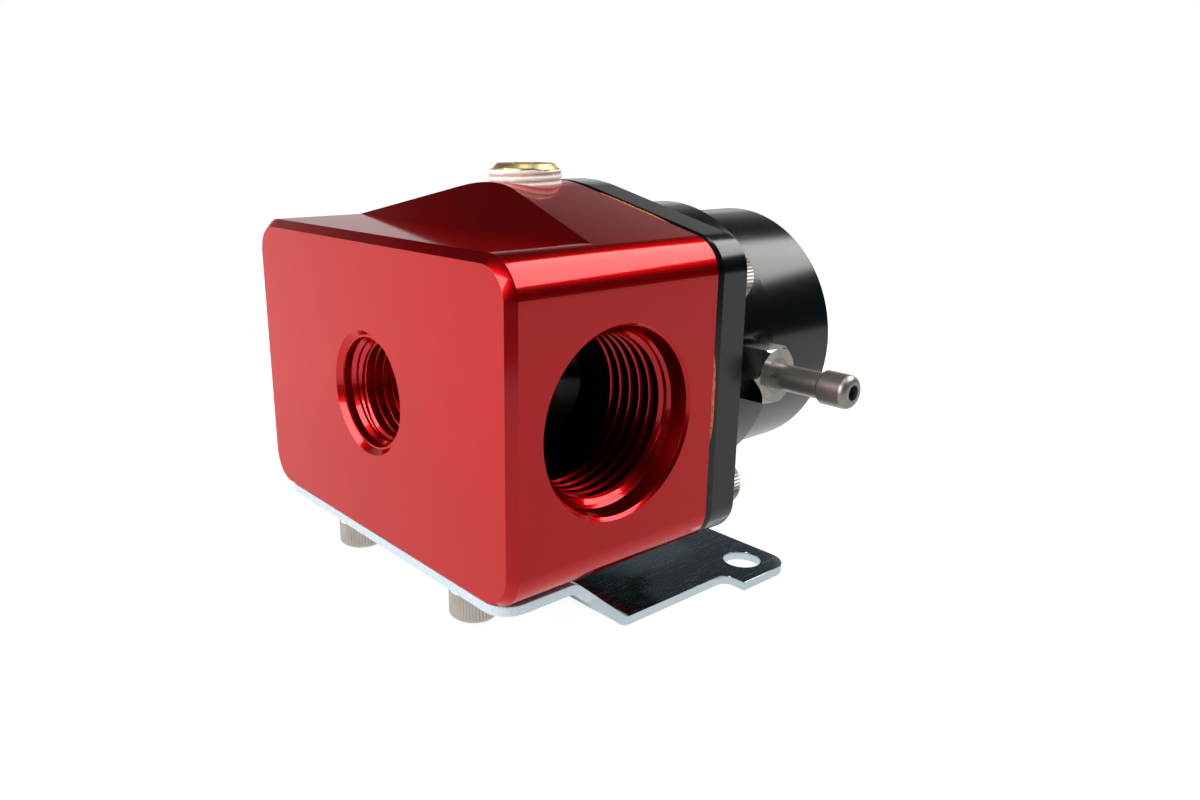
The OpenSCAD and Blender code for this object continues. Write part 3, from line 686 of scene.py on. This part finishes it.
class REGULATOR_OT_stage(RegulatorOperator, bpy.types.Operator):
    """Floor, studio light and camera at the photograph's angle"""

    bl_idname = "regulator.stage"
    bl_label = "Stage"

    def execute(self, context):
        self.background(context)
        self.floor()
        self.flag()
        self.lamps()
        self.camera(context)
        context.scene.view_settings.view_transform = "Standard"
        return {"FINISHED"}

    def seen(self, tree):
        """1 for rays of the camera, mirrors and glass."""
        path = [
            tree.node("ShaderNodeLightPath", output=name)
            for name in ("Is Camera Ray", "Is Glossy Ray", "Is Transmission Ray")
        ]
        total = path[0] + path[1] + path[2]
        return tree.node("ShaderNodeClamp", {}, {"Value": total})

    def background(self, context):
        world = bpy.data.worlds.new("studio")
        context.scene.world = world
        tree = Tree(world)
        seen = self.seen(tree)
        room = tree.node("ShaderNodeBackground", {}, {"Color": (0.98, 0.99, 1.0, 1.0), "Strength": 0.46})
        white = tree.node("ShaderNodeBackground", {}, {"Color": (1.0, 1.0, 1.0, 1.0), "Strength": 1.0})
        both = tree.node("ShaderNodeMixShader", {}, {0: seen, 1: room, 2: white})
        tree.node("ShaderNodeOutputWorld", {}, {"Surface": both})

    def floor(self):
        bm = bmesh.new()
        bmesh.ops.create_grid(bm, x_segments=8, y_segments=8, size=3.0)
        mesh = bpy.data.meshes.new("floor")
        bm.to_mesh(mesh)
        bm.free()
        floor = bpy.data.objects.new("floor", mesh)
        floor.location.z = -0.02 * MM
        bpy.context.scene.collection.objects.link(floor)
        tree = new_finish("white_paper")
        camera = tree.node("ShaderNodeLightPath", output="Is Camera Ray")
        x, y, _ = tree.axes((0, -20 * MM, 0))
        # Glossy rays see a painted floor: lighter to the left, darker to the right, with painted shadows near
        # and under the object and a painted dark patch far to the front right.
        side = tree.ramp(x * 5.0 + 0.5, (0.60, 1.0), (0.75, 0.60))
        near = tree.ramp((x * x + y * y) ** 0.5 * 5.0, (0.17, 0.84), (0.4, 0.9), (0.8, 1.0))
        painted_shadow_under = tree.ramp(((x - 10 * MM) ** 2 + y * y) ** 0.5 * 20.0, (0.24, 0.3), (0.36, 1.0))
        painted_dark_corner = tree.ramp((x * 0.5 - y * 0.866) * 4.0, (0.68, 1.0), (0.84, 0.12))
        shade = side * near * painted_shadow_under * painted_dark_corner
        mirrored = tree.node("ShaderNodeEmission", {}, {"Color": shade, "Strength": 1.0})
        glow = tree.node("ShaderNodeEmission", {}, {"Color": (0.88, 0.88, 0.88, 1.0), "Strength": 1.0})
        thin = tree.node("ShaderNodeBsdfDiffuse", {}, {"Color": (0.27, 0.27, 0.27, 1.0)})
        bright = tree.node("ShaderNodeAddShader", {}, {0: glow, 1: thin})
        shown = tree.node("ShaderNodeMixShader", {}, {0: camera, 1: mirrored, 2: bright})
        paper = tree.node("ShaderNodeBsdfDiffuse", {}, {"Color": (0.85, 0.85, 0.85, 1.0)})
        both = tree.node("ShaderNodeMixShader", {}, {0: self.seen(tree), 1: paper, 2: shown})
        tree.node("ShaderNodeOutputMaterial", {}, {"Surface": both})
        mesh.materials.append(tree.owner)

    def flag(self):
        """Tent over the table that glows with painted reflections: bright low on the left, a white strip at
        the rear left, and dark elsewhere, seen only in reflections.
        """
        bm = bmesh.new()
        bmesh.ops.create_uvsphere(bm, u_segments=48, v_segments=24, radius=DOME)
        bmesh.ops.bisect_plane(
            bm, geom=bm.verts[:] + bm.edges[:] + bm.faces[:], plane_co=(0, 0, 0.004), plane_no=(0, 0, 1),
            clear_inner=True,
        )
        bmesh.ops.reverse_faces(bm, faces=bm.faces)
        mesh = bpy.data.meshes.new("flag")
        bm.to_mesh(mesh)
        bm.free()
        flag = bpy.data.objects.new("flag", mesh)
        bpy.context.scene.collection.objects.link(flag)
        tree = new_finish("painted_reflection_tent")
        across, behind, height = tree.axes()
        # The white strip at the rear left is a painted highlight source for the metal.
        gap = tree.ramp(height / DOME, (0.17, 0.0), (0.21, 1.0), (0.28, 1.0), (0.32, 0.0))
        rear = tree.ramp(behind / DOME, (0.58, 0.0), (0.64, 1.0)) * (across < -0.3 * DOME)
        left = tree.ramp(
            height / DOME, (0.0, 0.60), (0.15, 0.60), (0.25, 0.42), (0.42, 0.34), (0.50, 0.12), (0.57, 0.03),
            (1.0, 0.02),
        )
        side = tree.ramp(0.5 - across / (2 * DOME), (0.42, 0.0), (0.62, 1.0))
        tent_glow = tree.mix(gap * rear, tree.mix(side, (0.008, 0.016, 0.020), left), (1.0, 1.0, 1.0))
        glow = tree.node("ShaderNodeEmission", {}, {"Color": tent_glow, "Strength": 1.0})
        tree.node("ShaderNodeOutputMaterial", {}, {"Surface": glow})
        mesh.materials.append(tree.owner)
        flag.visible_camera = False
        flag.visible_diffuse = False
        flag.visible_transmission = False
        flag.visible_shadow = False

    def lamps(self):
        aim = Vector((0, -10 * MM, 32 * MM))
        rows = (
            ("rear_softbox", (0.32, 0.62, 0.70), 0.55, 0.50, 0.34, 2.2, (1.0, 0.97, 0.93)),
            ("top_softbox", (0.10, -0.10, 1.0), 0.60, 0.24, 0.24, 0.55, (1.0, 1.0, 1.0)),
            ("front_softbox", (-0.08, -0.89, 0.44), 0.55, 0.55, 0.34, 3.0, (1.0, 0.99, 0.98)),
        )
        for name, direction, far, wide, high, power, tint in rows:
            lamp = bpy.data.lights.new(name, "AREA")
            lamp.shape = "RECTANGLE"
            lamp.size = wide
            lamp.size_y = high
            lamp.energy = power
            lamp.color = tint
            holder = bpy.data.objects.new(name, lamp)
            away = Vector(direction).normalized()
            holder.location = aim + away * far
            holder.rotation_mode = "QUATERNION"
            holder.rotation_quaternion = away.to_track_quat("Z", "Y")
            holder.visible_camera = False
            bpy.context.scene.collection.objects.link(holder)

    def camera(self, context):
        turn, rise = math.radians(50.759), math.radians(15.993)
        back = Vector((math.sin(turn) * math.cos(rise), -math.cos(turn) * math.cos(rise), math.sin(rise)))
        data = bpy.data.cameras.new("camera")
        data.sensor_width = 36.0
        data.lens = 28.26
        data.shift_x = 0.0553
        data.shift_y = 0.0017
        data.clip_start = 1 * MM
        camera = bpy.data.objects.new("camera", data)
        camera.location = (109.31 * MM, -107.97 * MM, 64.09 * MM)
        camera.rotation_mode = "QUATERNION"
        camera.rotation_quaternion = back.to_track_quat("Z", "Y")
        context.scene.collection.objects.link(camera)
        context.scene.camera = camera


class REGULATOR_OT_body(RegulatorOperator, bpy.types.Operator):
    """Red body with the threads of its three ports"""

    bl_idname = "regulator.body"
    bl_label = "Body"

    def execute(self, context):
        sizes = self.sizes
        self.shell()
        wide = ((0.0, 11.56), (0.25, 11.31), (0.32, 11.31), (1.14, 10.49))
        tight = ((0.0, 7.63), (1.18, 7.61), (1.70, 7.14), (2.04, 7.13), (2.53, 6.65))
        for name, mount, pitch, lead, behind, forward, turn in (
            ("right_inlet_thread", "right_inlet", sizes.inlet_pitch, wide, 11.72, 0.44, 0.0),
            ("left_inlet_thread", "left_inlet", sizes.inlet_pitch, wide, 11.72, 0.44, 0.0),
            ("return_thread", "return_port", sizes.return_pitch, tight, 8.05, 2.23, 0.9),
        ):
            port_thread(name, MOUNTS[mount], pitch, lead, behind * MM, forward * MM, turn)
        return {"FINISHED"}

    def shell(self):
        """The block, with its front face carried down close to the bracket."""
        bm = solid_copy("body")
        low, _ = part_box("body")
        reach, lip = 4 * MM, 0.62 * MM
        front = [v for v in bm.verts if v.co.y < low.y + 1e-6 and v.co.z < low.z + reach]
        lowest = min(v.co.z for v in front)
        share = (reach - lip) / (low.z + reach - lowest)
        for vert in front:
            vert.co.z = low.z + lip + (vert.co.z - lowest) * share
        break_edges(bm, self.sizes.edge_break)
        even_normals(new_piece("body_shell", bm, "body"))


class REGULATOR_OT_cover(RegulatorOperator, bpy.types.Operator):
    """Black cover"""

    bl_idname = "regulator.cover"
    bl_label = "Cover"

    def execute(self, context):
        dressed_copy("cover_shell", "cover", 1.5 * self.sizes.edge_break)
        return {"FINISHED"}


class REGULATOR_OT_diaphragm(RegulatorOperator, bpy.types.Operator):
    """Diaphragm with the ragged edge of cut fabric, and its middle that moves with the valve"""

    bl_idname = "regulator.diaphragm"
    bl_label = "Diaphragm"

    def execute(self, context):
        self.low, self.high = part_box("diaphragm")
        self.fold_r = 12.5 * MM
        self.sheet()
        self.middle()
        return {"FINISHED"}

    def outline(self):
        """The sheet's outer edge, on its front plane."""
        bm = solid_copy("diaphragm")
        holes = cover_screw_places(self.low.y) + [Vector((0, self.low.y, AXIS_Z))]
        flat = [v for v in bm.verts if v.co.y > self.low.y + 1e-6]
        flat += [v for v in bm.verts if min((v.co - hole).length for hole in holes) < 3 * MM]
        bmesh.ops.delete(bm, geom=list(set(flat)), context="VERTS")
        bmesh.ops.delete(bm, geom=bm.faces[:], context="FACES_ONLY")
        loose = [e for e in bm.edges if not self.on_rim(e)]
        bmesh.ops.delete(bm, geom=loose, context="EDGES")
        return bm

    def on_rim(self, edge):
        """Tells the outline's own edges from lines that crossed the sheet."""
        middle = (edge.verts[0].co + edge.verts[1].co) / 2
        wide = self.high.x - 5.0 * MM
        inside = abs(middle.x) < wide and self.low.z + 1e-4 < middle.z < self.high.z - 12 * MM
        return not inside

    def proud(self, point):
        """1 where the sheet stands out to the outline, 0 where it stays back in the joint."""
        places = (((31.7, 30.2), 6.5), ((15.0, 52.5), 10.0), ((-31.7, 24.0), 5.0), ((-12.0, 53.0), 5.5))
        best = 0.0
        for (x, z), reach in places:
            gap = math.hypot(point.x / MM - x, point.z / MM - z)
            best = max(best, 1.0 - (gap / reach) ** 4)
        return best

    def sheet(self):
        """The clamped sheet, with a ragged edge and holes for the screws and the middle."""
        fray = self.sizes.fray
        stitch, hole_r = 0.55 * MM, 2.35 * MM
        bm = self.outline()
        for edge in bm.edges[:]:
            cuts = int(edge.calc_length() / stitch)
            if cuts:
                bmesh.ops.subdivide_edges(bm, edges=[edge], cuts=cuts)
        middle = Vector((0, self.low.y, AXIS_Z))
        for vert in bm.verts:
            point = vert.co
            ragged = 0.5 + 0.5 * noise.noise(point * 900.0) + 0.4 * noise.noise(point * 2400.0)
            back = 0.3 * fray * max(ragged, 0.0) + 2.6 * fray * (1.0 - self.proud(point))
            vert.co = point + (middle - point).normalized() * back
        rings = bm.edges[:]
        flat = Matrix.Rotation(math.pi / 2, 4, "X")
        holes = [(place, hole_r) for place in cover_screw_places(self.low.y)]
        for place, radius in holes + [(middle, self.fold_r)]:
            circle = bmesh.ops.create_circle(
                bm, segments=48, radius=radius, matrix=Matrix.Translation(place) @ flat
            )["verts"]
            rings += list({e for v in circle for e in v.link_edges})
        bmesh.ops.triangle_fill(bm, use_beauty=True, use_dissolve=False, edges=rings, normal=(0, -1, 0))
        made = bmesh.ops.extrude_face_region(bm, geom=bm.faces[:])["geom"]
        back = [g for g in made if isinstance(g, bmesh.types.BMVert)]
        bmesh.ops.translate(bm, vec=(0, self.high.y - self.low.y, 0), verts=back)
        bmesh.ops.recalc_face_normals(bm, faces=bm.faces)
        new_piece("diaphragm_sheet", bm, "diaphragm", sharp=50.0)

    def middle(self):
        """The disc that the stack clamps, which rides on the stack."""
        bm = bmesh.new()
        inner, outer = 2.05 * MM, self.fold_r - 0.05 * MM
        corners = [
            bm.verts.new((r, y, AXIS_Z))
            for r, y in ((inner, self.low.y), (outer, self.low.y), (outer, self.high.y), (inner, self.high.y))
        ]
        lines = [bm.edges.new(pair) for pair in zip(corners, corners[1:] + corners[:1])]
        bmesh.ops.spin(
            bm, geom=corners + lines, cent=(0, 0, AXIS_Z), axis=(0, 1, 0), angle=math.tau, steps=64,
            use_merge=True,
        )
        bmesh.ops.recalc_face_normals(bm, faces=bm.faces)
        new_piece("diaphragm_middle", bm, "diaphragm", hides=False, body="valve_stack")


class REGULATOR_OT_screws(RegulatorOperator, bpy.types.Operator):
    """Knurled socket screws of the cover and the bracket"""

    bl_idname = "regulator.screws"
    bl_label = "Socket screws"

    def execute(self, context):
        self.row("cover_screw_row", "cover_screws", (0, 1, 0))
        self.row("bracket_screw_row", "bracket_screws", (0, 0, -1))
        return {"FINISHED"}

    def row(self, name, node, up):
        """Stands a screw on each place of a node's screws, which are read from its box."""
        sizes = self.sizes
        first_turn, next_turn = 0.7, 1.9
        low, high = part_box(node)
        up = Vector(up)
        if node == "cover_screws":
            shank = high.y - low.y - HEAD_H
            places = cover_screw_places(high.y - HEAD_H)
        else:
            shank = high.z - low.z - HEAD_H
            seat = low.z + HEAD_H
            places = [Vector((x, (low.y + high.y) / 2, seat)) for x in (low.x + HEAD_R, high.x - HEAD_R)]
        whole = bmesh.new()
        for turn, place in enumerate(places):
            bm = socket_screw(shank, sizes.knurl_count)
            knurl(bm, sizes.knurl_depth, sizes.knurl_count)
            spin = Matrix.Rotation(first_turn + next_turn * turn, 4, "Z")
            bmesh.ops.transform(bm, matrix=along(place, up) @ spin, verts=bm.verts)
            part = bpy.data.meshes.new("part")
            bm.to_mesh(part)
            bm.free()
            whole.from_mesh(part)
            bpy.data.meshes.remove(part)
        new_piece(name, whole, node, sharp=20.0)


class REGULATOR_OT_plug(RegulatorOperator, bpy.types.Operator):
    """Brass gauge plug with the sealing tape on its thread"""

    bl_idname = "regulator.plug"
    bl_label = "Gauge plug"

    def execute(self, context):
        self.brass()
        self.tape()
        return {"FINISHED"}

    def brass(self):
        """The plug, with a steep worn chamfer round its top."""
        bm = solid_copy("gauge_port_plug")
        axis = Vector((PLUG_CENTRE.x, PLUG_CENTRE.y, 0))
        bmesh.ops.translate(bm, vec=-axis, verts=bm.verts)
        wide = (PLUG_HIGH.x - PLUG_LOW.x) / 2
        top_r, low_r, chamfer = wide - 0.9 * MM, wide - 0.25 * MM, 1.5 * MM
        for vert in bm.verts:
            down = PLUG_HIGH.z - vert.co.z
            if down < 1e-6 and radius_of(vert) > wide - 1.4 * MM:
                set_radius(vert, top_r)
            elif down < chamfer and radius_of(vert) > wide - 0.1 * MM:
                set_radius(vert, low_r)
        bmesh.ops.translate(bm, vec=axis, verts=bm.verts)
        break_edges(bm, self.sizes.edge_break)
        even_normals(new_piece("gauge_plug", bm, "gauge_port_plug"))

    def tape(self):
        """Tape pressed into the thread, crumpled, with an uneven upper edge."""
        crumple, ragged = 0.07 * MM, 0.55 * MM
        run = TAPE_HIGH.z - TAPE_LOW.z
        inner = TAPE_R - TAPE_T
        bm = thread_surface(self.sizes.tape_pitch, inner + 0.02 * MM, TAPE_R, run, 96)
        for vert in bm.verts:
            wobble = noise.noise(vert.co * 900.0) + 0.6 * noise.noise(vert.co * 2300.0)
            set_radius(vert, min(radius_of(vert) + crumple * wobble, TAPE_R))
            if vert.co.z > run - 1e-7:
                vert.co.z += ragged * noise.noise(vert.co * 420.0 + Vector((3, 1, 7)))
                set_radius(vert, inner + 0.06 * MM)
        tops = [e for e in bm.edges if e.is_boundary and e.verts[0].co.z > run / 2]
        bottoms = [e for e in bm.edges if e.is_boundary and e.verts[0].co.z < run / 2]
        rims = []
        for edges in (tops, bottoms):
            made = bmesh.ops.extrude_edge_only(bm, edges=edges)["geom"]
            for vert in (g for g in made if isinstance(g, bmesh.types.BMVert)):
                set_radius(vert, inner)
            rims += [g for g in made if isinstance(g, bmesh.types.BMEdge) and g.is_boundary]
        bmesh.ops.bridge_loops(bm, edges=rims)
        bmesh.ops.recalc_face_normals(bm, faces=bm.faces)
        middle = (TAPE_LOW + TAPE_HIGH) / 2
        bmesh.ops.translate(bm, vec=(middle.x, middle.y, TAPE_LOW.z), verts=bm.verts)
        new_piece("plug_tape", bm, "plug_thread_tape", sharp=60.0)


class REGULATOR_OT_nipple(RegulatorOperator, bpy.types.Operator):
    """Boost nipple"""

    bl_idname = "regulator.nipple"
    bl_label = "Boost nipple"

    def execute(self, context):
        dressed_copy("boost_nipple", "vacuum_nipple", 0.10 * MM)
        return {"FINISHED"}


class REGULATOR_OT_bracket(RegulatorOperator, bpy.types.Operator):
    """Zinc plated bracket with its washers"""

    bl_idname = "regulator.bracket"
    bl_label = "Bracket"

    def execute(self, context):
        dressed_copy("bracket_sheet", "bracket", self.sizes.sheet_break)
        dressed_copy("flat_washers", "bracket_flat_washers", 0.12 * MM)
        dressed_copy("lock_washers", "bracket_lock_washers", 0.10 * MM)
        return {"FINISHED"}


class REGULATOR_OT_adjuster(RegulatorOperator, bpy.types.Operator):
    """Threaded adjusting screw with its jam nut and seal"""

    bl_idname = "regulator.adjuster"
    bl_label = "Adjuster"

    def execute(self, context):
        self.rod()
        dressed_copy("jam_nut_hex", "jam_nut", 0.12 * MM)
        dressed_copy("seal_washer", "jam_nut_seal_washer", 0.15 * MM)
        return {"FINISHED"}

    def rod(self):
        """Threaded rod along the regulator axis, with chamfered ends and a hexagonal socket behind."""
        low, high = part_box("adjusting_screw")
        pitch = self.sizes.adjuster_pitch
        crest = (high.x - low.x) / 2
        run = high.y - low.y
        chamfer, front_r = 0.8 * MM, 1.5 * MM
        socket_r, socket_depth, lip = 2.29 * MM, 5 * MM, 0.25 * MM
        root = crest - 0.6 * pitch
        bm = thread_surface(pitch, root, crest, run, 64)
        for vert in bm.verts:
            limit = crest - chamfer + min(vert.co.z, run - vert.co.z)
            if radius_of(vert) > limit:
                set_radius(vert, limit)
        front = grow_rim(bm, rim_edges(bm, 0.0), front_r, 0.0)
        bmesh.ops.edgeloop_fill(bm, edges=front)
        rear = grow_rim(bm, rim_edges(bm, run), socket_r + lip, run)
        hexagon = ring_edges(bm, 6, socket_r, run)
        bmesh.ops.bridge_loops(bm, edges=rear + hexagon)
        sink_socket(bm, hexagon, socket_depth)
        bmesh.ops.recalc_face_normals(bm, faces=bm.faces)
        base = Vector((0, low.y, AXIS_Z))
        bmesh.ops.transform(bm, matrix=along(base, (0, 1, 0)), verts=bm.verts)
        new_piece("adjusting_rod", bm, "adjusting_screw", sharp=25.0)


class REGULATOR_OT_inside(RegulatorOperator, bpy.types.Operator):
    """Valve, diaphragm stack and spring inside the housing"""

    bl_idname = "regulator.inside"
    bl_label = "Inner pieces"

    def execute(self, context):
        for node in (
            "valve_disc", "diaphragm_stud", "diaphragm_fuel_plate", "diaphragm_spring_plate",
            "diaphragm_washer", "diaphragm_nut", "spring_seat",
        ):
            dressed_copy(node + "_piece", node, 0.06 * MM)
        dressed_copy("valve_nozzle", "valve_seat", 0.08 * MM, "seat_brass")
        for node in ("seat_o_ring", "thrust_ball"):
            new_piece(node + "_piece", solid_copy(node), node, sharp=50.0)
        self.spring()
        return {"FINISHED"}

    def spring(self):
        """Spring wire spun in two halves from the middle, each baked in place where it is made."""
        low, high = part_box("regulator_spring")
        middle = (low.y + high.y) / 2
        wire_r, sides, steps = 1.3 * MM, 14, 36
        coil_r = (high.x - low.x) / 2 - wire_r
        closed = 2 * wire_r
        end_reach = 0.951 * wire_r
        turns = 1.5
        rise = (high.y - middle - end_reach - closed) / turns
        for name, way, body in (("spring_front", -1, "valve_stack"), ("spring_rear", 1, "spring_follower")):
            bm = bmesh.new()
            ring = bmesh.ops.create_circle(bm, segments=sides, radius=wire_r)["verts"]
            bmesh.ops.translate(bm, vec=(coil_r, middle, AXIS_Z), verts=ring)
            wire = ring + bm.edges[:]
            for lift, count in ((rise, turns), (closed, 1)):
                wire = bmesh.ops.spin(
                    bm, geom=wire, cent=(0, 0, AXIS_Z), axis=(0, -way, 0), dvec=(0, way * lift / steps, 0),
                    angle=math.tau * count, steps=round(steps * count), use_merge=False, use_duplicate=False,
                )["geom_last"]
            bmesh.ops.holes_fill(bm, edges=[e for e in bm.edges if e.is_boundary], sides=0)
            bmesh.ops.recalc_face_normals(bm, faces=bm.faces)
            tip = (high.y if way > 0 else low.y) - way * (closed + 2 * wire_r)
            between = (BODY_OF["body"], body, (0, middle, AXIS_Z), (0, tip, AXIS_Z))
            new_piece(name, bm, "regulator_spring", sharp=50.0, between=between)


class REGULATOR_PT_panel(bpy.types.Panel):
    """Lists the regulator's pieces in the sidebar"""

    bl_idname = "REGULATOR_PT_panel"
    bl_label = "Regulator"
    bl_space_type = "VIEW_3D"
    bl_region_type = "UI"
    bl_category = "Regulator"

    def draw(self, context):
        for row in OPERATORS:
            self.layout.operator(row.bl_idname)
        for group in (context.scene.regulator_sizes, context.scene.regulator_colours):
            box = self.layout.box()
            for name in group.__annotations__:
                box.prop(group, name)


OPERATORS = (
    REGULATOR_OT_stage, REGULATOR_OT_body, REGULATOR_OT_cover, REGULATOR_OT_diaphragm, REGULATOR_OT_screws,
    REGULATOR_OT_plug, REGULATOR_OT_nipple, REGULATOR_OT_bracket, REGULATOR_OT_adjuster,
    REGULATOR_OT_inside,
)
CLASSES = (RegulatorSizes, RegulatorColours) + OPERATORS + (REGULATOR_PT_panel,)


def register():
    for row in CLASSES:
        bpy.utils.register_class(row)
    bpy.types.Scene.regulator_sizes = PointerProperty(type=RegulatorSizes)
    bpy.types.Scene.regulator_colours = PointerProperty(type=RegulatorColours)


def unregister():
    del bpy.types.Scene.regulator_colours
    del bpy.types.Scene.regulator_sizes
    for row in reversed(CLASSES):
        bpy.utils.unregister_class(row)


def main():
    register()
    make_finishes(bpy.context.scene.regulator_colours)
    bpy.ops.regulator.stage()
    bpy.ops.regulator.body()
    bpy.ops.regulator.cover()
    bpy.ops.regulator.diaphragm()
    bpy.ops.regulator.screws()
    bpy.ops.regulator.plug()
    bpy.ops.regulator.nipple()
    bpy.ops.regulator.bracket()
    bpy.ops.regulator.adjuster()
    bpy.ops.regulator.inside()


if __name__ == "__main__":
    main()
